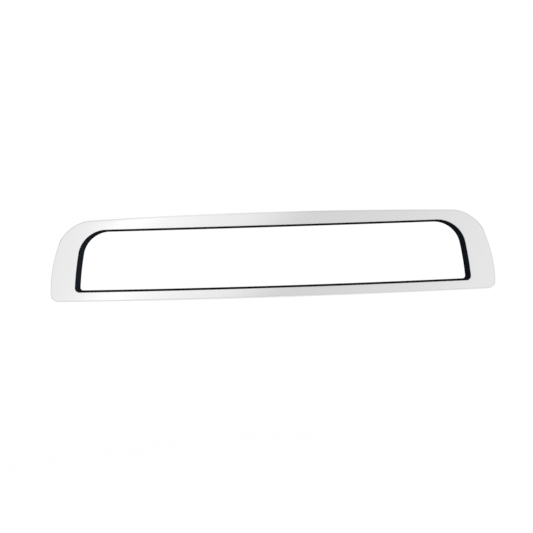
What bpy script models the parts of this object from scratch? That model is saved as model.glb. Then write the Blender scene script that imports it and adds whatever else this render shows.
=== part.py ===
"""Stick-on trim ring for a third brake light, with an open window.

The ring stands as on the vehicle: +X to the right, +Z up, the bright face towards -Y. The origin is in
the middle of the window, in the plane of the panel that the ring is stuck to. In plan the ring follows
the cab's rounded back, so its ends sweep back towards +Y. Depths are measured back from the face's crown.
"""

import math
from typing import NamedTuple

import bmesh
import bpy
from mathutils import Vector

MM = 0.001


class Outline(NamedTuple):
    """A rounded trapezoid, the same left and right, whose four edges are bowed."""

    bottom_half: float
    top_half: float
    bottom: float
    top: float
    bottom_radius: float
    top_radius: float
    bottom_crown: float
    top_crown: float
    side_bow: float


class Run(NamedTuple):
    """One stretch of the right half of an outline, and the ribs behind it.

    A rib is given by its distance from the middle of the ring, or on the side by its height.
    """

    name: str
    steps: int
    ribs: tuple = ()


class Station(NamedTuple):
    """A place along the right half: its run, the share of it on each outline, and if a rib is there."""

    run: str
    outer_share: float
    window_share: float
    on_rib: bool = False


class Strip(NamedTuple):
    """A length of foam tape: the channel that it lies in, where it starts and ends, and its width."""

    name: str
    channel: str
    start: float
    end: float
    width: float


# Outlines of the ring's outer edge and of its window
OUTER = Outline(
    bottom_half=206.95 * MM,
    top_half=187.9 * MM,
    bottom=-36.95 * MM,
    top=36.25 * MM,
    bottom_radius=5.4 * MM,
    top_radius=27.2 * MM,
    bottom_crown=1.15 * MM,
    top_crown=3.25 * MM,
    side_bow=6.3 * MM,
)
WINDOW = Outline(
    bottom_half=183.7 * MM,
    top_half=173.8 * MM,
    bottom=-28.65 * MM,
    top=28.65 * MM,
    bottom_radius=3.6 * MM,
    top_radius=25.7 * MM,
    bottom_crown=0.85 * MM,
    top_crown=-1.1 * MM,
    side_bow=1.6 * MM,
)
PLAN_RADIUS = 1500.0 * MM
LEAST_RADIUS = 0.4 * MM

# Section of the plated moulding
FACE_CROWN = 0.03 * MM
CROWN_SHARES = (0.25, 0.5, 0.75)
FACE_THICKNESS = 2.8 * MM
OUTER_EDGE_RADIUS = 1.2 * MM
WINDOW_EDGE_RADIUS = 0.3 * MM
OUTER_EDGE_STEPS = 3
WINDOW_EDGE_STEPS = 2
RIM_DEPTH = 6.0 * MM
RIM_FLARE = 0.2 * MM
RIM_WIDTH = 1.6 * MM
SKIRT_ROOT = 1.9 * MM
LIP_DEPTH = 1.6 * MM
LIP_WIDTH = 0.7 * MM
LIP_SLOPE = 0.3 * MM
FLANGE_DEPTH = 13.0 * MM
FLANGE_DRAFT = 0.2 * MM
FLANGE_EDGE = 1.2 * MM
FLANGE_ROOT = 1.7 * MM
RIB_DEPTH = 5.0 * MM
RIB_WIDTH = 1.2 * MM
RIB_DRAFT = 0.15 * MM
RIB_CLEAR = 0.01

# Stretches of the right half, from the middle of the bottom edge round to the middle of the top edge
RUNS = (
    Run("bottom", 12, (61 * MM, 174 * MM)),
    Run("bottom_corner", 7),
    Run("side", 6, (-22 * MM,)),
    Run("top_corner", 12),
    Run("top", 12, (57 * MM, 144 * MM)),
)

# Rubber seal on the flange round the window
GAP = 0.3 * MM
SEAL_BACK = 14.2 * MM
SEAL_FRONT_PROUD = 1.15 * MM
SEAL_BACK_PROUD = 1.28 * MM
BEAD_ROUND = 0.4 * MM

# Foam tape and its release liners
TAPE_FRONT = FACE_THICKNESS + GAP
TAPE_BACK = TAPE_FRONT + 3.2 * MM
LINER_FRONT = TAPE_BACK + GAP
LINER_BACK = LINER_FRONT + 0.25 * MM
LINER_MARGIN = 0.1 * MM
TAB_LENGTH = 8.0 * MM
TAB_LIFT = 1.2 * MM
STRIP_STEP = 14.0 * MM
STRIPS = (
    Strip("top_left", "top", -60 * MM, -140 * MM, 4.6 * MM),
    Strip("top_centre", "top", -46 * MM, 46 * MM, 4.6 * MM),
    Strip("top_right", "top", 60 * MM, 140 * MM, 4.6 * MM),
    Strip("bottom_left", "bottom", -66 * MM, -160 * MM, 3.6 * MM),
    Strip("bottom_centre", "bottom", -48 * MM, 48 * MM, 3.6 * MM),
    Strip("bottom_right", "bottom", 66 * MM, 160 * MM, 3.6 * MM),
    Strip("left_end", "left", -20 * MM, 5 * MM, 12.0 * MM),
    Strip("right_end", "right", -20 * MM, 5 * MM, 12.0 * MM),
)


def clear_scene():
    """Takes every object out of the scene."""
    for old in list(bpy.data.objects):
        bpy.data.objects.remove(old, do_unlink=True)


def finish(name, colour, roughness, metallic=0.0):
    """Makes a plain material."""
    made = bpy.data.materials.new(name)
    made.use_nodes = True
    shader = made.node_tree.nodes["Principled BSDF"]
    shader.inputs["Base Color"].default_value = (*colour, 1.0)
    shader.inputs["Roughness"].default_value = roughness
    shader.inputs["Metallic"].default_value = metallic
    return made


def bowed(outline, point):
    """Moves a point of the straight-edged trapezoid to where the crowned, bellied one has it."""
    rise = (point.y - outline.bottom) / (outline.top - outline.bottom)
    across = point.x / outline.bottom_half
    crown = outline.top_crown * rise - outline.bottom_crown * (1 - rise)
    belly = outline.side_bow * 4 * rise * (1 - rise)
    return Vector((point.x + belly * across, point.y + crown * (1 - across**2)))


def side_reach(outline, grow, height):
    """Half the straight-edged trapezoid's width at a height, with its side moved out by grow."""
    rise = outline.top - outline.bottom
    lean = outline.bottom_half - outline.top_half
    moved = grow * math.hypot(rise, lean) - lean * (height - outline.bottom)
    return outline.bottom_half + moved / rise


def fillet(before, corner, after, radius):
    """The start, the end and the centre of the arc that rounds a corner."""
    back = (before - corner).normalized()
    ahead = (after - corner).normalized()
    half_angle = back.angle(ahead) / 2
    reach = radius / math.tan(half_angle)
    centre = corner + (back + ahead).normalized() * (radius / math.sin(half_angle))
    return corner + back * reach, corner + ahead * reach, centre


def half_outline(outline, grow):
    """The right half of an outline moved out by grow, as a function of a run's name and a share of it."""
    low = outline.bottom - grow
    high = outline.top + grow
    low_corner = Vector((side_reach(outline, grow, low), low))
    high_corner = Vector((side_reach(outline, grow, high), high))
    low_middle = Vector((0.0, low))
    high_middle = Vector((0.0, high))
    low_radius = max(outline.bottom_radius + grow, LEAST_RADIUS)
    high_radius = max(outline.top_radius + grow, LEAST_RADIUS)
    low_start, low_end, low_centre = fillet(low_middle, low_corner, high_corner, low_radius)
    high_start, high_end, high_centre = fillet(low_corner, high_corner, high_middle, high_radius)
    straights = {
        "bottom": (low_middle, low_start),
        "side": (low_end, high_start),
        "top": (high_end, high_middle),
    }
    arcs = {
        "bottom_corner": (low_start, low_end, low_centre),
        "top_corner": (high_start, high_end, high_centre),
    }

    def at(run, share):
        if run in straights:
            start, end = straights[run]
            return bowed(outline, start.lerp(end, share))
        start, end, centre = arcs[run]
        spoke = (start - centre).slerp(end - centre, share).normalized()
        return bowed(outline, centre + spoke * (start - centre).length)

    return at


def share_at(outline, grow, run, place):
    """The share of a straight run that a rib's place is at."""
    at = half_outline(outline, grow)
    start = at(run.name, 0.0)
    end = at(run.name, 1.0)
    if run.name == "side":
        return (place - start.y) / (end.y - start.y)
    return (place - start.x) / (end.x - start.x)


def rib_stations(run, rib):
    """The stations of a rib that stands square to the ring: its two feet, and its back's edges between."""
    flank = RIB_WIDTH / 2
    foot = flank + RIB_DRAFT
    stations = []
    for offset, on_rib in ((-foot, False), (-flank, True), (flank, True), (foot, False)):
        outer_share = share_at(OUTER, -SKIRT_ROOT, run, rib + offset)
        window_share = share_at(WINDOW, LIP_WIDTH + FLANGE_ROOT, run, rib + offset)
        stations.append(Station(run.name, outer_share, window_share, on_rib))
    return stations


def half_stations(with_ribs):
    """Stations along the right half, with those left out that a rib's stations would cross.

    They lie half a step in from a run's ends, so a flat facet straddles the middle of the ring.
    """
    stations = []
    for run in RUNS:
        ribs = [rib_stations(run, rib) for rib in run.ribs] if with_ribs else []
        shares = [[share for station in rib for share in station[1:3]] for rib in ribs]
        taken = [(min(rib) - RIB_CLEAR, max(rib) + RIB_CLEAR) for rib in shares]
        placed = [station for rib in ribs for station in rib]
        for step in range(run.steps):
            share = (step + 0.5) / run.steps
            if not any(low < share < high for low, high in taken):
                placed.append(Station(run.name, share, share))
        stations += sorted(placed, key=lambda station: station.outer_share)
    return stations


def mirrored(half, flip):
    """Goes on from the right half of a closed loop through its left half."""
    return [*half, *(flip(one) for one in reversed(half))]


def ring(outline, grow, stations):
    """A closed loop of points on an outline moved out by grow."""
    at = half_outline(outline, grow)
    if outline is OUTER:
        half = [at(station.run, station.outer_share) for station in stations]
    else:
        half = [at(station.run, station.window_share) for station in stations]
    return mirrored(half, lambda point: Vector((-point.x, point.y)))


def swept(point, depth):
    """Puts a point of the flat outline at its depth on the plan curve."""
    sweep = PLAN_RADIUS - math.sqrt(PLAN_RADIUS**2 - point.x**2)
    return Vector((point.x, depth - RIM_DEPTH + sweep, point.y))


def add_object(name, shape, material, parent, origin):
    """Makes an object from a bmesh whose points are in world space, with its origin at a point."""
    bmesh.ops.translate(shape, verts=shape.verts, vec=-origin)
    bmesh.ops.recalc_face_normals(shape, faces=shape.faces)
    mesh = bpy.data.meshes.new(name)
    shape.to_mesh(mesh)
    shape.free()
    mesh.shade_smooth()
    mesh.set_sharp_from_angle(angle=math.radians(35))
    mesh.materials.append(material)
    made = bpy.data.objects.new(name, mesh)
    made.location = origin
    made.parent = parent
    bpy.context.scene.collection.objects.link(made)
    return made


def lofted_ring(loops):
    """Skins closed loops one after another, and the last one back to the first, into a hollow ring."""
    shape = bmesh.new()
    rows = [[shape.verts.new(point) for point in loop] for loop in loops]
    for row, after in zip(rows, rows[1:] + rows[:1]):
        for step in range(len(row)):
            following = (step + 1) % len(row)
            shape.faces.new((row[step], row[following], after[following], after[step]))
    return shape


def lofted_bar(sections):
    """Skins four-cornered sections one after another into a bar with closed ends."""
    shape = bmesh.new()
    rows = [[shape.verts.new(point) for point in section] for section in sections]
    for row, after in zip(rows, rows[1:]):
        for step in range(len(row)):
            following = (step + 1) % len(row)
            shape.faces.new((row[step], row[following], after[following], after[step]))
    shape.faces.new(rows[0])
    shape.faces.new(rows[-1])
    return shape


def bezel_loops():
    """The loops of the plated moulding, from the flange over the face to the skirt and the channel."""
    stations = half_stations(with_ribs=True)
    count = len(mirrored(stations, lambda place: place))
    window_top = ring(WINDOW, WINDOW_EDGE_RADIUS, stations)
    outer_top = ring(OUTER, -OUTER_EDGE_RADIUS, stations)
    loops = [
        (ring(WINDOW, LIP_WIDTH + FLANGE_DRAFT, stations), [FLANGE_DEPTH] * count),
        (ring(WINDOW, LIP_WIDTH, stations), [LIP_DEPTH + LIP_SLOPE] * count),
        (ring(WINDOW, 0.0, stations), [LIP_DEPTH] * count),
    ]
    for step in range(WINDOW_EDGE_STEPS + 1):
        turn = math.pi / 2 * step / WINDOW_EDGE_STEPS
        grow = WINDOW_EDGE_RADIUS * (1 - math.cos(turn))
        depth = FACE_CROWN + WINDOW_EDGE_RADIUS * (1 - math.sin(turn))
        loops.append((ring(WINDOW, grow, stations), [depth] * count))
    for share in CROWN_SHARES:
        line = [inner.lerp(outer, share) for inner, outer in zip(window_top, outer_top)]
        loops.append((line, [FACE_CROWN * (1 - 4 * share * (1 - share))] * count))
    for step in range(OUTER_EDGE_STEPS + 1):
        turn = math.pi / 2 * step / OUTER_EDGE_STEPS
        grow = OUTER_EDGE_RADIUS * (math.sin(turn) - 1)
        depth = FACE_CROWN + OUTER_EDGE_RADIUS * (1 - math.cos(turn))
        loops.append((ring(OUTER, grow, stations), [depth] * count))
    loops.append((ring(OUTER, RIM_FLARE, stations), [RIM_DEPTH] * count))
    loops.append((ring(OUTER, -RIM_WIDTH, stations), [RIM_DEPTH] * count))
    floor = [
        RIB_DEPTH if station.on_rib else FACE_THICKNESS
        for station in mirrored(stations, lambda place: place)
    ]
    loops.append((ring(OUTER, -SKIRT_ROOT, stations), floor))
    loops.append((ring(WINDOW, LIP_WIDTH + FLANGE_ROOT, stations), floor))
    flange_back = LIP_WIDTH + FLANGE_DRAFT + FLANGE_EDGE
    loops.append((ring(WINDOW, flange_back, stations), [FLANGE_DEPTH] * count))
    return [[swept(point, deep) for point, deep in zip(line, depths)] for line, depths in loops]


def seal_loops():
    """The loops of the rubber seal: a thin wall inside the flange and a beaded foot behind its edge."""
    stations = half_stations(with_ribs=False)
    wall_front = LIP_WIDTH - GAP
    wall_back = LIP_WIDTH + FLANGE_DRAFT - GAP
    front = LIP_DEPTH + LIP_SLOPE + GAP
    foot = LIP_WIDTH + FLANGE_DRAFT + FLANGE_EDGE
    foot_front = FLANGE_DEPTH + GAP
    section = (
        (wall_front, front),
        (-SEAL_FRONT_PROUD, front),
        (-SEAL_BACK_PROUD, SEAL_BACK - BEAD_ROUND),
        (BEAD_ROUND - SEAL_BACK_PROUD, SEAL_BACK),
        (foot - BEAD_ROUND, SEAL_BACK),
        (foot, SEAL_BACK - BEAD_ROUND),
        (foot, foot_front),
        (wall_back, foot_front),
    )
    return [[swept(point, depth) for point in ring(WINDOW, grow, stations)] for grow, depth in section]


def channel_walls(channel, place):
    """The window-side and the outer wall of the channel behind the face at one place along it."""
    walls = []
    for outline, grow in ((WINDOW, LIP_WIDTH + FLANGE_ROOT), (OUTER, -SKIRT_ROOT)):
        if channel == "top":
            point = Vector((place, outline.top + grow))
        elif channel == "bottom":
            point = Vector((place, outline.bottom - grow))
        else:
            reach = side_reach(outline, grow, place)
            point = Vector((-reach if channel == "left" else reach, place))
        walls.append(bowed(outline, point))
    return walls


def strip_section(channel, place, width, front, back):
    """The four corners of a strip's section in the middle of its channel."""
    inner, outer = channel_walls(channel, place)
    middle = inner.lerp(outer, 0.5)
    across = (outer - inner).normalized() * (width / 2)
    return [
        swept(middle - across, front),
        swept(middle + across, front),
        swept(middle + across, back),
        swept(middle - across, back),
    ]


def strip_places(start, end):
    """Even steps along a strip, both ends included."""
    steps = max(2, round(abs(end - start) / STRIP_STEP))
    return [start + (end - start) * step / steps for step in range(steps + 1)]


def tape_shape(strip):
    """A strip of foam tape."""
    places = strip_places(strip.start, strip.end)
    return lofted_bar(
        [strip_section(strip.channel, place, strip.width, TAPE_FRONT, TAPE_BACK) for place in places]
    )


def liner_shape(strip):
    """The film on a strip of tape, with a tail past the tape's end that stands off to be pulled."""
    onward = math.copysign(TAB_LENGTH, strip.end - strip.start)
    places = [*strip_places(strip.start, strip.end), strip.end + onward]
    width = strip.width + 2 * LINER_MARGIN
    lifts = [0.0] * (len(places) - 1) + [TAB_LIFT]
    return lofted_bar(
        [
            strip_section(strip.channel, place, width, LINER_FRONT + lift, LINER_BACK + lift)
            for place, lift in zip(places, lifts)
        ]
    )


def middle_of(shape):
    """The middle of a shape's box."""
    lows = [min(vert.co[axis] for vert in shape.verts) for axis in range(3)]
    highs = [max(vert.co[axis] for vert in shape.verts) for axis in range(3)]
    return (Vector(lows) + Vector(highs)) / 2


def build():
    """Builds the plated ring, its seal, and the tapes and liners behind it."""
    clear_scene()
    seat = bpy.data.objects.new("panel_seat", None)
    bpy.context.scene.collection.objects.link(seat)
    origin = Vector((0.0, 0.0, 0.0))
    chrome = finish("bright_chrome", (0.86, 0.87, 0.88), 0.06, 1.0)
    rubber = finish("black_rubber", (0.010, 0.013, 0.017), 0.55)
    foam = finish("grey_foam", (0.09, 0.09, 0.095), 0.9)
    film = finish("red_film", (0.55, 0.03, 0.03), 0.35)
    add_object("chrome_bezel", lofted_ring(bezel_loops()), chrome, seat, origin)
    add_object("window_seal", lofted_ring(seal_loops()), rubber, seat, origin)
    for strip in STRIPS:
        tape = tape_shape(strip)
        add_object(f"tape_{strip.name}", tape, foam, seat, middle_of(tape))
        liner = liner_shape(strip)
        add_object(f"liner_{strip.name}", liner, film, seat, middle_of(liner))


build()
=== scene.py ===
"""Models the show surfaces of a stick-on trim ring for a third brake light, and sets it in a studio.

The ring is swept along two outlines, its outer edge and its window, which are rounded trapezoids with
bowed edges. A section is drawn as corners that are a distance outside one of the outlines and a depth
behind the crown of the face, and each corner has its radius. Every piece is one loop of points that is
extruded from station to station, or from corner to corner, and closed.
"""

import math
from typing import NamedTuple

import bmesh
import bpy
from mathutils import Euler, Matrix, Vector


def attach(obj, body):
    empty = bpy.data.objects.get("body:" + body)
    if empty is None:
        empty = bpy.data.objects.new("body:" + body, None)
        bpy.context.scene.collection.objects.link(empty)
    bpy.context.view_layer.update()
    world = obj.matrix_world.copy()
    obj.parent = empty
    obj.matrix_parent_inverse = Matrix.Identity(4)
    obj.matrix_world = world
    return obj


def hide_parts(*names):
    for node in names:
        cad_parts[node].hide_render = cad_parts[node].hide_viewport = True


bl_info = {
    "name": "Brake Light Trim Ring",
    "version": (1, 0, 0),
    "blender": (4, 5, 0),
    "location": "3D View > Sidebar > Trim Ring",
    "description": "Models a chrome trim ring with its rubber edge, foam tapes and release films",
    "category": "Add Mesh",
}

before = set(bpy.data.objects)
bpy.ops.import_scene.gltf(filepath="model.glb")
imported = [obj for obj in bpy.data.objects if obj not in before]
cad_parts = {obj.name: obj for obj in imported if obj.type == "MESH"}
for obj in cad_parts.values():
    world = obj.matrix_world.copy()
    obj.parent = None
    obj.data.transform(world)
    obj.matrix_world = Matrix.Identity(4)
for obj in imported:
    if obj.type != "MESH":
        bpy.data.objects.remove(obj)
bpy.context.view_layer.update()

MM = 0.001
PHOTO_PIXELS = 533
SENSOR_WIDTH = 36.0
WHITE = (1.0, 1.0, 1.0, 1.0)

# Runs of the right half of an outline with their steps, and the ribs in the channel behind them, by their
# distance from the middle of the ring or on the side by their height
RUN_STEPS = {"bottom": 56, "bottom_corner": 14, "side": 18, "top_corner": 36, "top": 48}
RUN_RIBS = {"bottom": (61 * MM, 174 * MM), "side": (-22 * MM,), "top": (57 * MM, 144 * MM)}
# Share of a run beside a rib that other stations keep out of
RIB_CLEAR = 0.004

# Steps across the face, and the share of it at which a row beside each rolled edge holds the shading
CROWN_STEPS = 10
FACE_HOLD = 0.012

# Width of the bar at which a section is drawn while its corners are rounded, and the steps of a round
SECTION_BAR = 12.0 * MM
ROUND_STEP = 0.2 * MM
LEAST_ROUND_STEPS = 3
MERGE_DISTANCE = 1e-6
SMOOTH_ANGLE = math.radians(40)
MARK_SIDES = 48
MARK_ROUND_STEPS = 2

# Steps along a strip of tape, and how far round the steps at the tip of a film's tail are
STRIP_STEP = 3.0 * MM
LEAST_STRIP_STEPS = 2
TIP_TURNS = tuple(math.radians(degrees) for degrees in (30, 55, 75, 88))
# Lengths over which the two waves of a film's ripple turn by a radian
RIPPLE_LENGTHS = (9.0 * MM, 4.3 * MM)
# Attribute that notes how far a film curls off its tape, and masks the painted light that comes through
# its tail
CURL = "curl"

# Gloss of the rubber's bead, and how far back its faces look at least
BEAD_SHINE = 0.35
BEAD_SLOPE = 0.4
# Share of the drawing lines in a film's relief
LINE_SHARE = 0.4
# A Mix node's sockets for two colours and for their mix
MIX_FIRST, MIX_SECOND, MIX_RESULT = 6, 7, 2

# Parts of a direction of unit length: how far up the lights lean, how far to one side the side lights are
# full, and where the front lights and the white backdrop start and are full
LEAN_REACH = 0.12
SIDE_FULL = 0.35
FRONT_START, FRONT_FULL = 0.2, 0.8
BACK_START, BACK_FULL = 0.5, 0.95

FLOOR_SIDES = 128
ABOVE_LAMP_PLACE = (0.35, -1.1, 1.1)
ABOVE_LAMP_SIZE = (1.4, 0.9)
SIDE_LAMP_PLACE = (2.7, -0.9, 0.1)
SIDE_LAMP_ANGLE = math.radians(30)


class Corner(NamedTuple):
    """A corner of a section: the outline that it follows, its place, its radius, and if ribs lift it."""

    edge: str
    grow: float
    depth: float
    radius: float
    ribbed: bool = False


class Station(NamedTuple):
    """A place along the right half: its run, the share of it on each outline, and if a rib is there."""

    run: str
    outer: float
    window: float
    on_rib: bool = False


class Strip(NamedTuple):
    """A length of tape: the channel that it lies in, where it starts and ends, and its width."""

    name: str
    channel: str
    start: float
    end: float
    width: float


STRIPS = (
    Strip("top_left", "top", -60 * MM, -140 * MM, 4.6 * MM),
    Strip("top_centre", "top", -46 * MM, 46 * MM, 4.6 * MM),
    Strip("top_right", "top", 60 * MM, 140 * MM, 4.6 * MM),
    Strip("bottom_left", "bottom", -66 * MM, -160 * MM, 3.6 * MM),
    Strip("bottom_centre", "bottom", -48 * MM, 48 * MM, 3.6 * MM),
    Strip("bottom_right", "bottom", 66 * MM, 160 * MM, 3.6 * MM),
    Strip("left_end", "left", -20 * MM, 5 * MM, 12.0 * MM),
    Strip("right_end", "right", -20 * MM, 5 * MM, 12.0 * MM),
)


def size(name, description, millimetres):
    """A length, given in millimetres."""
    return bpy.props.FloatProperty(
        name=name,
        description=description,
        default=millimetres * MM,
        unit="LENGTH",
        precision=5,
    )


def colour(name, description, value):
    """A colour of a finish."""
    return bpy.props.FloatVectorProperty(
        name=name,
        description=description,
        default=value,
        size=3,
        min=0.0,
        max=1.0,
        subtype="COLOR",
    )


def level(name, description, value, **kind):
    """A number, such as the strength of a light, with its unit or subtype if it has one."""
    return bpy.props.FloatProperty(name=name, description=description, default=value, **kind)


def turn(name, description, degrees):
    """An angle, given in degrees."""
    return bpy.props.FloatProperty(
        name=name,
        description=description,
        default=math.radians(degrees),
        subtype="ANGLE",
    )


class OuterOutline(bpy.types.PropertyGroup):
    """The outer edge of the ring where its rolled edge meets the skirt."""

    bottom_half: size("Half width, bottom", "From the middle to the sharp lower corner", 206.95)
    top_half: size("Half width, top", "From the middle to the sharp upper corner", 187.9)
    bottom: size("Bottom", "Height of the lower corners", -36.95)
    top: size("Top", "Height of the upper corners", 36.25)
    bottom_radius: size("Lower corner radius", "Round of the lower corners", 5.4)
    top_radius: size("Upper corner radius", "Round of the upper corners", 27.2)
    bottom_crown: size("Bottom crown", "How far the bottom edge bows down", 1.15)
    top_crown: size("Top crown", "How far the top edge bows up", 3.25)
    side_bow: size("Side bow", "How far the ends bow out", 6.3)


class WindowOutline(bpy.types.PropertyGroup):
    """The edge of the window at the front."""

    bottom_half: size("Half width, bottom", "From the middle to the sharp lower corner", 183.7)
    top_half: size("Half width, top", "From the middle to the sharp upper corner", 173.8)
    bottom: size("Bottom", "Height of the lower corners", -28.65)
    top: size("Top", "Height of the upper corners", 28.65)
    bottom_radius: size("Lower corner radius", "Round of the lower corners", 3.6)
    top_radius: size("Upper corner radius", "Round of the upper corners", 25.7)
    bottom_crown: size("Bottom crown", "How far the bottom edge bows down", 0.85)
    top_crown: size("Top crown", "How far the top edge bows up", -1.1)
    side_bow: size("Side bow", "How far the ends bow out", 1.6)


class RingSection(bpy.types.PropertyGroup):
    """The section of the plated moulding. Depths are behind the crown of the face."""

    plan_radius: size("Plan radius", "How the ring follows the cab's rounded back", 1500.0)
    face_crown: size("Face crown", "How far the middle of the face stands proud", 0.03)
    face_thickness: size("Face thickness", "Depth of the channel's floor", 2.8)
    outer_round: size("Outer edge radius", "Roll of the outer edge", 1.2)
    window_round: size("Window edge radius", "Roll of the window's edge", 0.3)
    rim_depth: size("Rim depth", "Depth of the skirt's back edge", 6.0)
    rim_flare: size("Rim flare", "How far the skirt spreads towards its rim", 0.2)
    rim_width: size("Rim width", "Thickness of the skirt at its rim", 1.6)
    skirt_root: size("Skirt root", "Thickness of the skirt at the channel's floor", 1.9)
    lip_depth: size("Lip depth", "Back of the lip that covers the rubber's front", 1.6)
    lip_width: size("Lip width", "How far the lip stands over the flange", 0.7)
    lip_slope: size("Lip slope", "How much deeper the lip is at its root", 0.3)
    flange_depth: size("Flange depth", "Depth of the flange's back edge", 13.0)
    flange_draft: size("Flange draft", "How far the flange leans away from the window", 0.2)
    flange_edge: size("Flange edge", "Thickness of the flange at its back edge", 1.2)
    flange_root: size("Flange root", "Thickness of the flange at the channel's floor", 1.7)
    rib_depth: size("Rib depth", "Depth of the ribs' backs", 5.0)
    rib_width: size("Rib width", "Thickness of a rib", 1.2)
    rib_draft: size("Rib draft", "Slope of a rib's flank", 0.15)
    edge_round: size("Edge round", "Radius of the moulding's back edges", 0.3)
    lip_round: size("Lip round", "Radius of the lip's back edge", 0.12)
    floor_round: size("Floor round", "Radius of the channel's corners", 0.5)
    mark_radius: size("Ejector mark radius", "Radius of the round marks that the ejector pins leave", 2.2)
    mark_height: size("Ejector mark height", "How far the marks stand up", 0.12)
    mark_round: size("Ejector mark round", "Bevel of the marks' edges", 0.04)


class RubberSection(bpy.types.PropertyGroup):
    """The section of the rubber edge."""

    fit: size("Fit", "Room between the rubber and the moulding", 0.02)
    back: size("Back", "Depth of the rubber's back", 14.2)
    front_proud: size("Proud at the front", "How far the rubber stands into the window", 1.15)
    back_proud: size("Proud at the back", "How far the rubber stands into the window", 1.28)
    front_round: size("Front round", "Radius of the front edge", 0.3)
    bead_round: size("Bead round", "Radius of the bead at the back", 0.5)
    inner_round: size("Inner round", "Radius of the hidden corners", 0.1)


class TapeSizes(bpy.types.PropertyGroup):
    """The foam tapes and the films on them."""

    foam_back: size("Foam back", "Depth of the tape's back", 6.55)
    foam_round: size("Foam round", "Radius of the tape's long edges", 0.35)
    foam_bulge: size("Foam bulge", "How far the tape's sides swell", 0.12)
    film_front: size("Film front", "Depth of the film's front", 6.6)
    film_thickness: size("Film thickness", "Thickness of the film", 0.2)
    film_margin: size("Film margin", "How far the film stands past the tape on each side", 0.1)
    film_round: size("Film round", "Radius of the film's edges", 0.06)
    film_wave: size("Film wave", "How far the film ripples", 0.06)
    tab_length: size("Tab length", "Length of the tail to pull", 8.0)
    tab_lift: size("Tab lift", "How far the tail stands off", 2.2)
    tab_round: size("Tab round", "Radius of the tail's corners", 1.4)


class Finishes(bpy.types.PropertyGroup):
    """Colours of the finishes."""

    chrome: colour("Chrome", "Polished plating on the face", (0.885, 0.885, 0.885))
    plating: colour("Plating", "Dull plating on the back", (0.50, 0.51, 0.52))
    rubber: colour("Rubber", "Black rubber edge", (0.0077, 0.0098, 0.013))
    foam: colour("Foam", "Grey foam tape", (0.085, 0.086, 0.09))
    film: colour("Film", "Red release film", (0.50, 0.022, 0.026))
    # Painted light: the tail's lighter red stands in for light that comes through the film where no foam
    # is behind it
    film_tail: colour("Film tail", "Release film where light comes through it", (0.66, 0.085, 0.07))
    floor: colour("Floor", "Pale studio floor", (0.86, 0.86, 0.86))


class Studio(bpy.types.PropertyGroup):
    """The camera, the floor and the light."""

    distance: size("Distance", "From the camera to the crown of the face", 560.0)
    focal_pixels: level("Focal length", "In the photograph's pixels", 617.6, subtype="PIXEL")
    centre_x: level("Centre across", "Column that the camera aims at", 272.68, subtype="PIXEL")
    centre_y: level("Centre down", "Row that the camera aims at", 256.52, subtype="PIXEL")
    height: size("Height", "How far above the middle of the window the camera aims", -1.05)
    roll: turn("Roll", "How far the camera leans", 1.813)
    yaw: turn("Yaw", "How far round to the left the camera stands", 0.426)
    pitch: turn("Pitch", "How far down the camera looks", 0.157)
    floor_drop: size("Floor drop", "How far the floor is below the middle of the window", 420.0)
    floor_radius: size("Floor radius", "Size of the floor", 900.0)
    room_level: level("Room light", "Light from every side", 0.735)
    box_level: level("Soft box", "Extra light from the broad soft box on the left", 0.188)
    box_start: turn("Soft box full", "Where the soft box starts to fade out", -7.3)
    box_end: turn("Soft box end", "Where the soft box ends", 5.75)
    strip_level: level("Strip light", "Extra light from the narrow strip on the left", 0.152)
    strip_azimuth: turn("Strip azimuth", "Where the strip light stands", -24.65)
    strip_spread: turn("Strip spread", "How wide the strip light is", 4.7)
    key_level: level("Key light", "Extra light from the key beside the strip", 0.096)
    key_azimuth: turn("Key azimuth", "Where the key light stands", -18.7)
    key_spread: turn("Key spread", "How wide the key light is", 8.2)
    fill_level: level("Fill light", "Extra light from the fill on the right", 0.187)
    fill_azimuth: turn("Fill azimuth", "Where the fill light stands", 45.0)
    fill_spread: turn("Fill spread", "How wide the fill light is", 23.3)
    lean: level("Lean", "Slope at which the lights lean to the right on their way up", 0.585)
    side_level: level("Side light", "Share of the room light from above and below", 0.9)
    left_level: level("Left light", "Share of the room light from the left", 1.05)
    right_level: level("Right light", "Share of the room light from the right", 1.2)
    flag_azimuth: turn("Flag azimuth", "Where a dark flag stands on each side", 66.0)
    flag_spread: turn("Flag spread", "How wide a flag is", 10.0)
    card_height: level("Card height", "Slope at which dark cards stand above and below", 0.32)
    card_spread: level("Card spread", "How tall a card is", 0.08)
    card_depth: level("Card and flag depth", "Share of the light that they take", 0.6, subtype="FACTOR")
    back_level: level("Back light", "Light from the white backdrop behind the ring", 1.0)
    lamp_power: level("Lamp power", "Power of the soft lamp above the camera", 6.0, unit="POWER")
    side_power: level("Side lamp power", "Watts per square metre of the lamp far off to the right", 2.2)
    floor_glow: level("Floor glow", "What lifts the floor to white for the camera", 0.2)
    floor_mirror: level("Floor in mirrors", "What lifts the floor where the plating mirrors it", 0.01)


class TrimRing(bpy.types.PropertyGroup):
    """All the sizes, colours and lights of the trim ring."""

    outer: bpy.props.PointerProperty(type=OuterOutline)
    window: bpy.props.PointerProperty(type=WindowOutline)
    section: bpy.props.PointerProperty(type=RingSection)
    rubber: bpy.props.PointerProperty(type=RubberSection)
    tapes: bpy.props.PointerProperty(type=TapeSizes)
    finishes: bpy.props.PointerProperty(type=Finishes)
    studio: bpy.props.PointerProperty(type=Studio)


# Outlines


def arch(share):
    """0 at both ends of a length, and 1 in its middle."""
    return 4 * share * (1 - share)


def bowed(outline, point):
    """Moves a point of the straight-edged trapezoid to where the bowed one has it."""
    rise = (point.y - outline.bottom) / (outline.top - outline.bottom)
    across = point.x / outline.bottom_half
    crown = outline.top_crown * rise - outline.bottom_crown * (1 - rise)
    belly = outline.side_bow * arch(rise)
    return Vector((point.x + belly * across, point.y + crown * (1 - across**2)))


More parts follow.
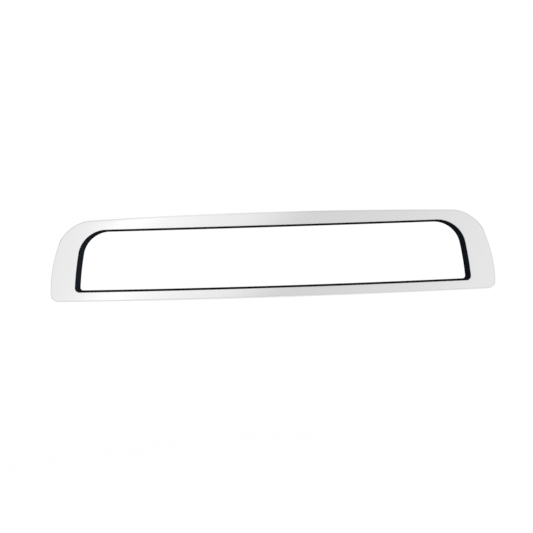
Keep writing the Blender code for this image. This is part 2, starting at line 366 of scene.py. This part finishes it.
def side_reach(outline, grow, height):
    """Half the straight-edged trapezoid's width at a height, with its side moved out by grow."""
    rise = outline.top - outline.bottom
    lean = outline.bottom_half - outline.top_half
    moved = grow * math.hypot(rise, lean) - lean * (height - outline.bottom)
    return outline.bottom_half + moved / rise


def fillet(before, corner, after, radius):
    """The start, the end and the centre of the arc that rounds a corner."""
    back = (before - corner).normalized()
    ahead = (after - corner).normalized()
    half_angle = back.angle(ahead) / 2
    reach = radius / math.tan(half_angle)
    centre = corner + (back + ahead).normalized() * (radius / math.sin(half_angle))
    return corner + back * reach, corner + ahead * reach, centre


def on_arc(start, end, centre, share):
    """A point part of the way along an arc."""
    spoke = (start - centre).slerp(end - centre, share).normalized()
    return centre + spoke * (start - centre).length


def half_outline(outline, grow):
    """The right half of an outline moved out by grow, as a function of a run and a share of it."""
    low = outline.bottom - grow
    high = outline.top + grow
    low_corner = Vector((side_reach(outline, grow, low), low))
    high_corner = Vector((side_reach(outline, grow, high), high))
    low_middle = Vector((0.0, low))
    high_middle = Vector((0.0, high))
    low_arc = fillet(low_middle, low_corner, high_corner, outline.bottom_radius + grow)
    high_arc = fillet(low_corner, high_corner, high_middle, outline.top_radius + grow)
    straights = {
        "bottom": (low_middle, low_arc[0]),
        "side": (low_arc[1], high_arc[0]),
        "top": (high_arc[1], high_middle),
    }
    arcs = {"bottom_corner": low_arc, "top_corner": high_arc}

    def at(run, share):
        if run in straights:
            start, end = straights[run]
            return bowed(outline, start.lerp(end, share))
        return bowed(outline, on_arc(*arcs[run], share))

    return at


def share_at(outline, grow, run, place):
    """The share of a straight run that a rib's place is at."""
    at = half_outline(outline, grow)
    start = at(run, 0.0)
    end = at(run, 1.0)
    if run == "side":
        return (place - start.y) / (end.y - start.y)
    return (place - start.x) / (end.x - start.x)


def rib_stations(ring, run, rib):
    """The stations of a rib square to the ring: its two feet, and the edges of its back between them."""
    section = ring.section
    flank = section.rib_width / 2
    foot = flank + section.rib_draft
    stations = []
    for offset, on_rib in ((-foot, False), (-flank, True), (flank, True), (foot, False)):
        outer = share_at(ring.outer, -section.skirt_root, run, rib + offset)
        window = share_at(ring.window, section.lip_width + section.flange_root, run, rib + offset)
        stations.append(Station(run, outer, window, on_rib))
    return stations


def half_stations(ring, with_ribs):
    """Stations along the right half, with those left out that a rib's stations would cross."""
    stations = []
    for run, steps in RUN_STEPS.items():
        ribs = [rib_stations(ring, run, rib) for rib in RUN_RIBS.get(run, ())] if with_ribs else []
        shares = [[share for one in rib for share in (one.outer, one.window)] for rib in ribs]
        taken = [(min(rib) - RIB_CLEAR, max(rib) + RIB_CLEAR) for rib in shares]
        placed = [station for rib in ribs for station in rib]
        for step in range(steps):
            share = (step + 0.5) / steps
            if not any(low < share < high for low, high in taken):
                placed.append(Station(run, share, share))
        stations += sorted(placed, key=lambda station: station.outer)
    return stations


def loop_of(ring, edge, grow, stations):
    """A closed loop of points on an outline moved out by grow."""
    at = half_outline(getattr(ring, edge), grow)
    right = [at(station.run, getattr(station, edge)) for station in stations]
    return right + [Vector((-point.x, point.y)) for point in reversed(right)]


def swept(ring, point, depth):
    """Puts a point of the flat outline at its depth on the plan curve."""
    radius = ring.section.plan_radius
    sweep = radius - math.sqrt(radius**2 - point.x**2)
    return Vector((point.x, depth - ring.section.rim_depth + sweep, point.y))


def rounded(corners):
    """Rounds each corner of a section, and gives each one's points as corners of no radius."""
    shifts = [SECTION_BAR if corner.edge == "outer" else 0.0 for corner in corners]
    flat = [Vector((corner.grow + shift, corner.depth)) for corner, shift in zip(corners, shifts)]
    rounds = []
    for index, corner in enumerate(corners):
        after = flat[(index + 1) % len(flat)]
        arc = fillet(flat[index - 1], flat[index], after, corner.radius)
        steps = max(LEAST_ROUND_STEPS, round(corner.radius / ROUND_STEP))
        points = [on_arc(*arc, step / steps) for step in range(steps + 1)]
        rounds.append(
            [corner._replace(grow=point.x - shifts[index], depth=point.y, radius=0.0) for point in points]
        )
    return rounds


def channel_walls(ring, channel, place):
    """The window-side and the outer wall of the channel behind the face at one place along it."""
    inner_grow = ring.section.lip_width + ring.section.flange_root
    walls = []
    for outline, grow in ((ring.window, inner_grow), (ring.outer, -ring.section.skirt_root)):
        if channel == "top":
            point = Vector((place, outline.top + grow))
        elif channel == "bottom":
            point = Vector((place, outline.bottom - grow))
        else:
            reach = side_reach(outline, grow, place)
            point = Vector((-reach if channel == "left" else reach, place))
        walls.append(bowed(outline, point))
    return walls


# Modelling


def put_selected(piece, points):
    """Puts the loop that is selected in edit mode at its points."""
    shape = bmesh.from_edit_mesh(piece.data)
    place = shape.verts.layers.int["place"]
    for vert in shape.verts:
        if vert.select:
            vert.co = points[vert[place]]
    bmesh.update_edit_mesh(piece.data)


def skin(name, loops, closed):
    """Models a piece by extruding one loop from place to place, then closes it on itself or caps it."""
    bpy.ops.object.select_all(action="DESELECT")
    bpy.ops.mesh.primitive_circle_add(
        vertices=len(loops[0]), fill_type="NOTHING", calc_uvs=False, enter_editmode=True
    )
    piece = bpy.context.object
    piece.name = name
    piece.data.name = name
    bpy.ops.mesh.select_mode(type="EDGE")
    bpy.ops.mesh.select_all(action="SELECT")
    shape = bmesh.from_edit_mesh(piece.data)
    place = shape.verts.layers.int.new("place")
    for index, vert in enumerate(shape.verts):
        vert[place] = index
    put_selected(piece, loops[0])
    for loop in [*loops[1:], loops[0]] if closed else loops[1:]:
        bpy.ops.mesh.extrude_region_move()
        put_selected(piece, loop)
    bpy.ops.mesh.select_all(action="SELECT")
    if closed:
        bpy.ops.mesh.remove_doubles(threshold=MERGE_DISTANCE)
    else:
        bpy.ops.mesh.fill_holes(sides=0)
    bpy.ops.mesh.select_all(action="SELECT")
    bpy.ops.mesh.normals_make_consistent(inside=False)
    bpy.ops.object.mode_set(mode="OBJECT")
    piece.data.attributes.remove(piece.data.attributes["place"])
    bpy.ops.object.shade_smooth_by_angle(angle=SMOOTH_ANGLE)
    return piece


def finish_back(piece, material, least):
    """Gives a second finish to the faces that look back by at least a share."""
    piece.data.materials.append(material)
    slot = len(piece.data.materials) - 1
    for face in piece.data.polygons:
        if face.normal.y >= least:
            face.material_index = slot


def seat_piece(piece, body, node):
    """Makes a piece ride on its body in place of its CAD node."""
    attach(piece, body)
    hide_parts(node)


# Node trees


class Wire:
    """An output of a node that takes part in Python expressions."""

    def __init__(self, board, socket):
        self.board = board
        self.socket = socket

    def maths(self, operation, *others):
        """Adds a Math node on this value."""
        inputs = dict(enumerate((self, *others)))
        return self.board.add("ShaderNodeMath", {"operation": operation}, inputs)

    def __add__(self, other):
        return self.maths("ADD", other)

    def __radd__(self, other):
        return self.maths("ADD", other)

    def __sub__(self, other):
        return self.maths("SUBTRACT", other)

    def __rsub__(self, other):
        return self.board.add("ShaderNodeMath", {"operation": "SUBTRACT"}, {0: other, 1: self})

    def __mul__(self, other):
        return self.maths("MULTIPLY", other)

    def __rmul__(self, other):
        return self.maths("MULTIPLY", other)

    def __truediv__(self, other):
        return self.maths("DIVIDE", other)

    def __neg__(self):
        return self.maths("MULTIPLY", -1.0)


class Board:
    """The nodes of a material or of the world."""

    def __init__(self, owner):
        owner.use_nodes = True
        self.tree = owner.node_tree
        self.tree.nodes.clear()

    def add(self, kind, settings=None, inputs=None, output=0):
        """Adds a node, sets it up, fills or links its inputs, and gives one of its outputs."""
        node = self.tree.nodes.new(kind)
        for name, value in (settings or {}).items():
            setattr(node, name, value)
        for key, value in (inputs or {}).items():
            if isinstance(value, Wire):
                self.tree.links.new(value.socket, node.inputs[key])
            else:
                node.inputs[key].default_value = value
        return Wire(self, node.outputs[output]) if node.outputs else None

    def object_coordinates(self):
        """Places on the piece, in metres."""
        return self.add("ShaderNodeTexCoord", output="Object")

    def parts(self, vector):
        """A vector's parts along x, y and z."""
        return [self.add("ShaderNodeSeparateXYZ", None, {"Vector": vector}, axis) for axis in "XYZ"]

    def noise(self, where, scale, detail):
        """Soft noise from 0 to 1."""
        inputs = {"Vector": where, "Scale": scale, "Detail": detail}
        return self.add("ShaderNodeTexNoise", None, inputs, "Fac")

    def stretched(self, where, scale):
        """Places scaled by a different amount on each axis."""
        return self.add("ShaderNodeMapping", None, {"Vector": where, "Scale": scale})

    def ease(self, value, start, end, low, high):
        """A smooth step from low to high while a value goes from start to end."""
        inputs = {"Value": value, "From Min": start, "From Max": end, "To Min": low, "To Max": high}
        return self.add("ShaderNodeMapRange", {"interpolation_type": "SMOOTHSTEP"}, inputs)

    def ray(self, kind):
        """Whether the ray that is being followed is of a kind."""
        return self.add("ShaderNodeLightPath", output=kind)

    def seen(self):
        """Whether the camera sees this, straight or through something clear."""
        return self.ray("Is Camera Ray").maths("MAXIMUM", self.ray("Is Transmission Ray"))

    def bump(self, height, strength, distance):
        """A normal that follows a height."""
        inputs = {"Height": height, "Strength": strength, "Distance": distance}
        return self.add("ShaderNodeBump", None, inputs)

    def blend(self, share, first, second):
        """A colour part of the way from one to another."""
        inputs = {"Factor": share, MIX_FIRST: first, MIX_SECOND: second}
        return self.add("ShaderNodeMix", {"data_type": "RGBA"}, inputs, MIX_RESULT)

    def mottle(self, share, shade, start, end):
        """A colour that goes from one strength to another over a surface."""
        return self.blend(share, opaque(shade, start), opaque(shade, end))

    def surface(self, **inputs):
        """The shader of the piece, and the material's output."""
        named = {key.replace("_", " ").title().replace("Ior", "IOR"): one for key, one in inputs.items()}
        shader = self.add("ShaderNodeBsdfPrincipled", None, named)
        self.add("ShaderNodeOutputMaterial", None, {"Surface": shader})


def opaque(shade, factor=1.0):
    """A colour with full alpha, made lighter or darker by a factor."""
    return (*(min(1.0, part * factor) for part in shade), 1.0)


def chrome_finish(finishes):
    """Polished plating: a mirror with a trace of the moulding's waviness under it."""
    material = bpy.data.materials.new("polished_chrome")
    board = Board(material)
    where = board.object_coordinates()
    haze = board.noise(where, scale=38.0, detail=4.0)
    wave = board.noise(where, scale=55.0, detail=1.0)
    board.surface(
        base_color=opaque(finishes.chrome),
        metallic=1.0,
        roughness=0.03 + haze * 0.03,
        normal=board.bump(wave, strength=0.02, distance=0.2 * MM),
    )
    return material


def plating_finish(finishes):
    """Dull plating on the back of the moulding, over its fine tool marks."""
    material = bpy.data.materials.new("dull_plating")
    board = Board(material)
    where = board.object_coordinates()
    cloud = board.noise(where, scale=45.0, detail=4.0)
    grain = board.noise(where, scale=2400.0, detail=2.0)
    shade = board.mottle(cloud, finishes.plating, start=0.88, end=1.12)
    board.surface(
        base_color=shade,
        metallic=1.0,
        roughness=0.30 + cloud * 0.14,
        normal=board.bump(grain, strength=0.12, distance=0.05 * MM),
    )
    return material


def rubber_finish(finishes, name, shine):
    """Moulded black rubber, a little greyer where it has bloomed."""
    material = bpy.data.materials.new(name)
    board = Board(material)
    where = board.object_coordinates()
    bloom = board.noise(where, scale=90.0, detail=3.0)
    grain = board.noise(where, scale=5200.0, detail=2.0)
    shade = board.mottle(bloom, finishes.rubber, start=0.8, end=1.3)
    board.surface(
        base_color=shade,
        roughness=0.5 + bloom * 0.2,
        specular_ior_level=shine,
        normal=board.bump(grain, strength=0.18, distance=0.04 * MM),
    )
    return material


def foam_finish(finishes):
    """Closed-cell foam, with its cut cells, lighter in their middles and darker in the grooves between
    them.
    """
    material = bpy.data.materials.new("cut_foam")
    board = Board(material)
    where = board.object_coordinates()
    inputs = {"Vector": where, "Scale": 2600.0}
    cells = board.add("ShaderNodeTexVoronoi", None, inputs, "Distance")
    shade = board.mottle(cells, finishes.foam, start=1.35, end=0.55)
    board.surface(
        base_color=shade,
        roughness=0.92,
        specular_ior_level=0.2,
        normal=board.bump(1.0 - cells, strength=0.55, distance=0.12 * MM),
    )
    return material


def film_finish(finishes):
    """Red release film with faint drawing lines along it and a soft gloss, with painted light coming
    through it where it curls off.
    """
    material = bpy.data.materials.new("drawn_film")
    board = Board(material)
    where = board.object_coordinates()
    along = board.stretched(where, scale=(30.0, 30.0, 1900.0))
    lines = board.noise(along, scale=1.0, detail=2.0)
    cloud = board.noise(where, scale=120.0, detail=3.0)
    curl = board.add("ShaderNodeAttribute", {"attribute_name": CURL}, output="Fac")
    shade = board.mottle(cloud, finishes.film, start=0.85, end=1.15)
    relief = lines * LINE_SHARE + cloud * (1 - LINE_SHARE)
    board.surface(
        # Painted light: the curled tail gets a lighter red for the light that comes through it
        base_color=board.blend(curl, shade, opaque(finishes.film_tail)),
        roughness=0.20 + cloud * 0.16,
        normal=board.bump(relief, strength=0.3, distance=0.12 * MM),
    )
    return material


# Pieces


def ring_loops(ring):
    """The loops of the plated moulding, round its section from the flange's back edge."""
    part = ring.section
    inner_back = part.lip_width + part.flange_draft
    before_face = (
        Corner("window", inner_back, part.flange_depth, part.edge_round),
        Corner("window", part.lip_width, part.lip_depth + part.lip_slope, part.lip_round),
        Corner("window", 0.0, part.lip_depth, part.lip_round),
        Corner("window", 0.0, part.face_crown, part.window_round),
    )
    after_face = (
        Corner("outer", 0.0, part.face_crown, part.outer_round),
        Corner("outer", part.rim_flare, part.rim_depth, part.edge_round),
        Corner("outer", -part.rim_width, part.rim_depth, part.edge_round),
        Corner("outer", -part.skirt_root, part.face_thickness, part.floor_round, True),
        Corner("window", part.lip_width + part.flange_root, part.face_thickness, part.floor_round, True),
        Corner("window", inner_back + part.flange_edge, part.flange_depth, part.edge_round),
    )
    rounds = rounded(before_face + after_face)
    stations = half_stations(ring, with_ribs=True)
    on_ribs = [station.on_rib for station in stations]
    on_ribs += reversed(on_ribs)
    rib_height = part.rib_depth - part.face_thickness

    def loop_at(corner):
        points = loop_of(ring, corner.edge, corner.grow, stations)
        lifts = [rib_height if corner.ribbed and on_rib else 0.0 for on_rib in on_ribs]
        return [swept(ring, point, corner.depth + lift) for point, lift in zip(points, lifts)]

    split = len(before_face)
    before = [loop_at(corner) for points in rounds[:split] for corner in points]
    after = [loop_at(corner) for points in rounds[split:] for corner in points]
    face = []
    for share in (FACE_HOLD, *(step / CROWN_STEPS for step in range(1, CROWN_STEPS)), 1 - FACE_HOLD):
        proud = Vector((0.0, -part.face_crown * arch(share), 0.0))
        face.append([one.lerp(other, share) + proud for one, other in zip(before[-1], after[0])])
    return before + face + after


def add_ejector_marks(ring, name):
    """The round marks that ejector pins leave on the channel's floor, half sunk in it at its corners."""
    part = ring.section
    inner = half_outline(ring.window, part.lip_width + part.flange_root)
    outer = half_outline(ring.outer, -part.skirt_root)
    marks = []
    for run in ("bottom_corner", "top_corner"):
        for side in (-1, 1):
            middle = inner(run, 0.5).lerp(outer(run, 0.5), 0.5)
            middle.x *= side
            bpy.ops.object.select_all(action="DESELECT")
            bpy.ops.mesh.primitive_cylinder_add(
                vertices=MARK_SIDES,
                radius=part.mark_radius,
                depth=2 * part.mark_height,
                location=swept(ring, middle, part.face_thickness),
                rotation=(math.pi / 2, 0.0, math.asin(middle.x / part.plan_radius)),
                calc_uvs=False,
                enter_editmode=True,
            )
            bpy.ops.mesh.select_all(action="SELECT")
            bpy.ops.mesh.bevel(offset=part.mark_round, segments=MARK_ROUND_STEPS, affect="EDGES")
            bpy.ops.object.mode_set(mode="OBJECT")
            marks.append(bpy.context.object)
    for mark in marks:
        mark.select_set(True)
    bpy.ops.object.join()
    joined = bpy.context.object
    joined.name = name
    joined.data.name = name
    bpy.ops.object.transform_apply(location=True, rotation=True, scale=True)
    bpy.ops.object.shade_smooth_by_angle(angle=SMOOTH_ANGLE)
    return joined


class TRIMRING_OT_bright_ring(bpy.types.Operator):
    """Model the plated moulding, polished in front and dull behind"""

    bl_idname = "trimring.bright_ring"
    bl_label = "Bright ring"
    bl_options = {"REGISTER", "UNDO"}

    def execute(self, context):
        ring = context.scene.trim_ring
        piece = skin("bright_ring", ring_loops(ring), closed=True)
        plating = plating_finish(ring.finishes)
        piece.data.materials.append(chrome_finish(ring.finishes))
        finish_back(piece, plating, least=0.0)
        seat_piece(piece, "ring", "chrome_bezel")
        marks = add_ejector_marks(ring, "ejector_marks")
        marks.data.materials.append(plating)
        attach(marks, "ring")
        return {"FINISHED"}


class TRIMRING_OT_rubber_edge(bpy.types.Operator):
    """Model the rubber edge that lines the window and covers the flange's back edge"""

    bl_idname = "trimring.rubber_edge"
    bl_label = "Rubber edge"
    bl_options = {"REGISTER", "UNDO"}

    def execute(self, context):
        ring = context.scene.trim_ring
        part = ring.section
        rubber = ring.rubber
        front = part.lip_depth + part.lip_slope + rubber.fit
        foot_front = part.flange_depth + rubber.fit
        inner_back = part.lip_width + part.flange_draft
        foot = inner_back + part.flange_edge
        corners = (
            Corner("window", part.lip_width - rubber.fit, front, rubber.inner_round),
            Corner("window", -rubber.front_proud, front, rubber.front_round),
            Corner("window", -rubber.back_proud, rubber.back, rubber.bead_round),
            Corner("window", foot, rubber.back, rubber.bead_round),
            Corner("window", foot, foot_front, rubber.inner_round),
            Corner("window", inner_back - rubber.fit, foot_front, rubber.inner_round),
        )
        stations = half_stations(ring, with_ribs=False)
        loops = [
            [swept(ring, point, corner.depth) for point in loop_of(ring, "window", corner.grow, stations)]
            for points in rounded(corners)
            for corner in points
        ]
        piece = skin("rubber_edge", loops, closed=True)
        piece.data.materials.append(rubber_finish(ring.finishes, "matt_rubber", shine=0.0))
        satin = rubber_finish(ring.finishes, "satin_rubber", shine=BEAD_SHINE)
        finish_back(piece, satin, least=BEAD_SLOPE)
        seat_piece(piece, "ring", "window_seal")
        return {"FINISHED"}


def strip_places(start, end):
    """Even steps along a strip, both ends included."""
    steps = max(LEAST_STRIP_STEPS, round(abs(end - start) / STRIP_STEP))
    return [start + (end - start) * step / steps for step in range(steps + 1)]


def strip_loop(ring, strip, place, section):
    """A strip's section, given as distances across and depths, at one place along its channel."""
    inner, outer = channel_walls(ring, strip.channel, place)
    middle = inner.lerp(outer, 0.5)
    across = (outer - inner).normalized()
    return [swept(ring, middle + across * side, depth) for side, depth in section]


def slab_section(half_width, front, back, radius):
    """A flat section with rounded corners, as distances across and depths."""
    corners = (
        Corner("window", -half_width, front, radius),
        Corner("window", half_width, front, radius),
        Corner("window", half_width, back, radius),
        Corner("window", -half_width, back, radius),
    )
    return [(one.grow, one.depth) for points in rounded(corners) for one in points]


class TRIMRING_OT_foam_tapes(bpy.types.Operator):
    """Model the strips of foam tape in the channel, with their sides swollen a little"""

    bl_idname = "trimring.foam_tapes"
    bl_label = "Foam tapes"
    bl_options = {"REGISTER", "UNDO"}

    def execute(self, context):
        ring = context.scene.trim_ring
        tapes = ring.tapes
        foam = foam_finish(ring.finishes)
        front = ring.section.face_thickness
        for strip in STRIPS:
            section = slab_section(strip.width / 2, front, tapes.foam_back, tapes.foam_round)
            section = [
                (side + math.copysign(self.swell(tapes, front, depth), side), depth)
                for side, depth in section
            ]
            places = strip_places(strip.start, strip.end)
            loops = [strip_loop(ring, strip, place, section) for place in places]
            piece = skin(f"foam_{strip.name}", loops, closed=False)
            piece.data.materials.append(foam)
            seat_piece(piece, "ring", f"tape_{strip.name}")
        return {"FINISHED"}

    @staticmethod
    def swell(tapes, front, depth):
        """How far the foam's side stands out at a depth."""
        share = (depth - front) / (tapes.foam_back - front)
        return tapes.foam_bulge * arch(share)


class TRIMRING_OT_release_films(bpy.types.Operator):
    """Model the films on the tapes, each with a tail that curls off to be pulled"""

    bl_idname = "trimring.release_films"
    bl_label = "Release films"
    bl_options = {"REGISTER", "UNDO"}

    def execute(self, context):
        ring = context.scene.trim_ring
        film = film_finish(ring.finishes)
        for strip in STRIPS:
            loops = self.film_loops(ring, strip)
            piece = skin(f"film_{strip.name}", loops, closed=False)
            self.note_curl(ring, piece)
            piece.data.materials.append(film)
            seat_piece(piece, f"liner_{strip.name}", f"liner_{strip.name}")
        return {"FINISHED"}

    @staticmethod
    def note_curl(ring, piece):
        """Notes at each point how far the film curls off the tape, for the painted light that comes
        through its tail.
        """
        tapes = ring.tapes
        curl = piece.data.attributes.new(CURL, "FLOAT", "POINT")
        for point, note in zip(piece.data.vertices, curl.data):
            flat = swept(ring, point.co.xz, tapes.film_front + tapes.film_thickness)
            note.value = min(1.0, max(0.0, (point.co.y - flat.y) / tapes.tab_lift))

    @staticmethod
    def film_loops(ring, strip):
        """The film's sections from its square end to the rounded end of its tail."""
        tapes = ring.tapes
        half = strip.width / 2 + tapes.film_margin
        way = math.copysign(1.0, strip.end - strip.start)
        tip = strip.end + way * tapes.tab_length
        places = strip_places(strip.start, strip.end)
        places += strip_places(strip.end, tip - way * tapes.tab_round)[1:]
        places += [tip - way * tapes.tab_round * (1 - math.sin(turned)) for turned in TIP_TURNS]
        loops = []
        for place in places:
            past = max(0.0, (place - strip.end) * way) / tapes.tab_length
            left = max(0.0, 1 - (tip - place) * way / tapes.tab_round)
            narrower = tapes.tab_round * (1 - math.sqrt(max(0.0, 1 - left**2)))
            ripple = 1 + math.prod(math.sin(place / length) for length in RIPPLE_LENGTHS)
            front = tapes.film_front + tapes.tab_lift * past**2 + tapes.film_wave * ripple
            section = slab_section(half - narrower, front, front + tapes.film_thickness, tapes.film_round)
            loops.append(strip_loop(ring, strip, place, section))
        return loops


# Studio


def light_room(studio):
    """Soft light from all round, lights and dark cards for the plating to mirror, and white behind."""
    world = bpy.data.worlds.new("studio")
    bpy.context.scene.world = world
    board = Board(world)
    across, away, up = board.parts(board.add("ShaderNodeTexCoord", output="Generated"))
    climb = board.add("ShaderNodeClamp", None, {"Value": up, "Min": -LEAN_REACH, "Max": LEAN_REACH})
    azimuth = (across - climb * studio.lean).maths("ARCTAN2", -away)

    def near(value, centre, spread):
        """1 where a value is at its centre, and softly less on both sides."""
        offset = (value - centre) / spread
        return (-(offset * offset)).maths("EXPONENT")

    box = board.ease(azimuth, studio.box_start, studio.box_end, studio.box_level, 0.0)
    strip = studio.strip_level * near(azimuth, studio.strip_azimuth, studio.strip_spread)
    key = studio.key_level * near(azimuth, studio.key_azimuth, studio.key_spread)
    fill = studio.fill_level * near(azimuth, studio.fill_azimuth, studio.fill_spread)
    cards = near(azimuth.maths("ABSOLUTE"), studio.flag_azimuth, studio.flag_spread)
    cards = cards.maths("MAXIMUM", near(up.maths("ABSOLUTE"), studio.card_height, studio.card_spread))
    sides = board.ease(across, -SIDE_FULL, 0.0, studio.left_level, studio.side_level)
    sides = board.ease(across, 0.0, SIDE_FULL, sides, studio.right_level)
    front = board.ease(-away, FRONT_START, FRONT_FULL, sides, 1.0)
    behind = board.ease(away, BACK_START, BACK_FULL, 0.0, 1.0)
    room = (studio.room_level + box + strip + key + fill) * front
    room = room * (1.0 - behind) + behind * studio.back_level
    room = room * (1.0 - cards * studio.card_depth)
    room_light = board.add("ShaderNodeBackground", None, {"Color": WHITE, "Strength": room})
    backdrop = board.add("ShaderNodeBackground", None, {"Color": WHITE, "Strength": 1.0})
    seen = board.seen().maths("MAXIMUM", board.ray("Is Glossy Ray") * behind)
    shader = board.add("ShaderNodeMixShader", None, {0: seen, 1: room_light, 2: backdrop})
    board.add("ShaderNodeOutputWorld", None, {"Surface": shader})


def floor_finish(ring):
    """A pale floor that reads as white to the camera where nothing shades it."""
    studio = ring.studio
    material = bpy.data.materials.new("pale_floor")
    board = Board(material)
    matt = board.add("ShaderNodeBsdfDiffuse", None, {"Color": opaque(ring.finishes.floor)})
    lift = board.seen() * studio.floor_glow + board.ray("Is Glossy Ray") * studio.floor_mirror
    glow = board.add("ShaderNodeEmission", None, {"Color": WHITE, "Strength": lift})
    both = board.add("ShaderNodeAddShader", None, {0: matt, 1: glow})
    board.add("ShaderNodeOutputMaterial", None, {"Surface": both})
    return material


def add_floor(ring):
    """The round floor far below the ring."""
    studio = ring.studio
    bpy.ops.object.select_all(action="DESELECT")
    bpy.ops.mesh.primitive_circle_add(
        vertices=FLOOR_SIDES,
        radius=studio.floor_radius,
        fill_type="NGON",
        location=(0.0, 0.0, -studio.floor_drop),
    )
    floor = bpy.context.object
    floor.name = "studio_floor"
    bpy.ops.object.transform_apply(location=True)
    floor.data.materials.append(floor_finish(ring))


def add_lamp(name, kind, place, power):
    """A lamp that shines at the ring from a place, and that the plating doesn't mirror."""
    bpy.ops.object.light_add(type=kind, location=place)
    lamp = bpy.context.object
    lamp.name = name
    lamp.rotation_euler = (-lamp.location).to_track_quat("-Z", "Y").to_euler()
    lamp.data.energy = power
    lamp.visible_glossy = False
    return lamp.data


def add_lamps(studio):
    """A large soft lamp above the camera, and a weak one far to the right for the window's left wall."""
    above = add_lamp("soft_lamp", "AREA", ABOVE_LAMP_PLACE, studio.lamp_power)
    above.shape = "RECTANGLE"
    above.size, above.size_y = ABOVE_LAMP_SIZE
    side = add_lamp("side_lamp", "SUN", SIDE_LAMP_PLACE, studio.side_power)
    side.angle = SIDE_LAMP_ANGLE


def add_camera(ring):
    """A camera in front of the middle of the window, at the photograph's framing."""
    studio = ring.studio
    aim = Euler((-studio.pitch, 0.0, -studio.yaw)).to_matrix()
    upright = Euler((math.pi / 2, studio.roll, 0.0)).to_matrix()
    face = Vector((0.0, -ring.section.rim_depth, studio.height))
    bpy.ops.object.camera_add(
        location=face + aim @ Vector((0.0, -studio.distance, 0.0)),
        rotation=(aim @ upright).to_euler(),
    )
    camera = bpy.context.object
    camera.name = "photo_camera"
    camera.data.sensor_width = SENSOR_WIDTH
    camera.data.lens = studio.focal_pixels / PHOTO_PIXELS * SENSOR_WIDTH
    camera.data.shift_x = 0.5 - studio.centre_x / PHOTO_PIXELS
    camera.data.shift_y = studio.centre_y / PHOTO_PIXELS - 0.5
    bpy.context.scene.camera = camera


class TRIMRING_OT_studio(bpy.types.Operator):
    """Set up the floor, the light and the camera"""

    bl_idname = "trimring.studio"
    bl_label = "Studio"
    bl_options = {"REGISTER", "UNDO"}

    def execute(self, context):
        ring = context.scene.trim_ring
        light_room(ring.studio)
        add_floor(ring)
        add_lamps(ring.studio)
        add_camera(ring)
        context.scene.view_settings.view_transform = "Standard"
        return {"FINISHED"}


class TRIMRING_PT_sidebar(bpy.types.Panel):
    """Lists the pieces of the trim ring and their settings"""

    bl_label = "Trim Ring"
    bl_idname = "TRIMRING_PT_sidebar"
    bl_space_type = "VIEW_3D"
    bl_region_type = "UI"
    bl_category = "Trim Ring"

    def draw(self, context):
        for operator in OPERATORS:
            self.layout.operator(operator.bl_idname)
        ring = context.scene.trim_ring
        for name in TrimRing.__annotations__:
            group = getattr(ring, name)
            box = self.layout.box()
            box.label(text=name.capitalize())
            for setting in type(group).__annotations__:
                box.prop(group, setting)


OPERATORS = (
    TRIMRING_OT_bright_ring,
    TRIMRING_OT_rubber_edge,
    TRIMRING_OT_foam_tapes,
    TRIMRING_OT_release_films,
    TRIMRING_OT_studio,
)
CLASSES = (
    OuterOutline,
    WindowOutline,
    RingSection,
    RubberSection,
    TapeSizes,
    Finishes,
    Studio,
    TrimRing,
    *OPERATORS,
    TRIMRING_PT_sidebar,
)


def register():
    """Adds the classes, and the ring's settings to the scene."""
    for one in CLASSES:
        bpy.utils.register_class(one)
    bpy.types.Scene.trim_ring = bpy.props.PointerProperty(type=TrimRing)


def unregister():
    """Takes the settings and the classes away again."""
    del bpy.types.Scene.trim_ring
    for one in reversed(CLASSES):
        bpy.utils.unregister_class(one)


def main():
    """Adds the ring's settings to the scene, models every piece and sets up the studio."""
    register()
    bpy.ops.trimring.bright_ring()
    bpy.ops.trimring.rubber_edge()
    bpy.ops.trimring.foam_tapes()
    bpy.ops.trimring.release_films()
    bpy.ops.trimring.studio()


if __name__ == "__main__":
    main()
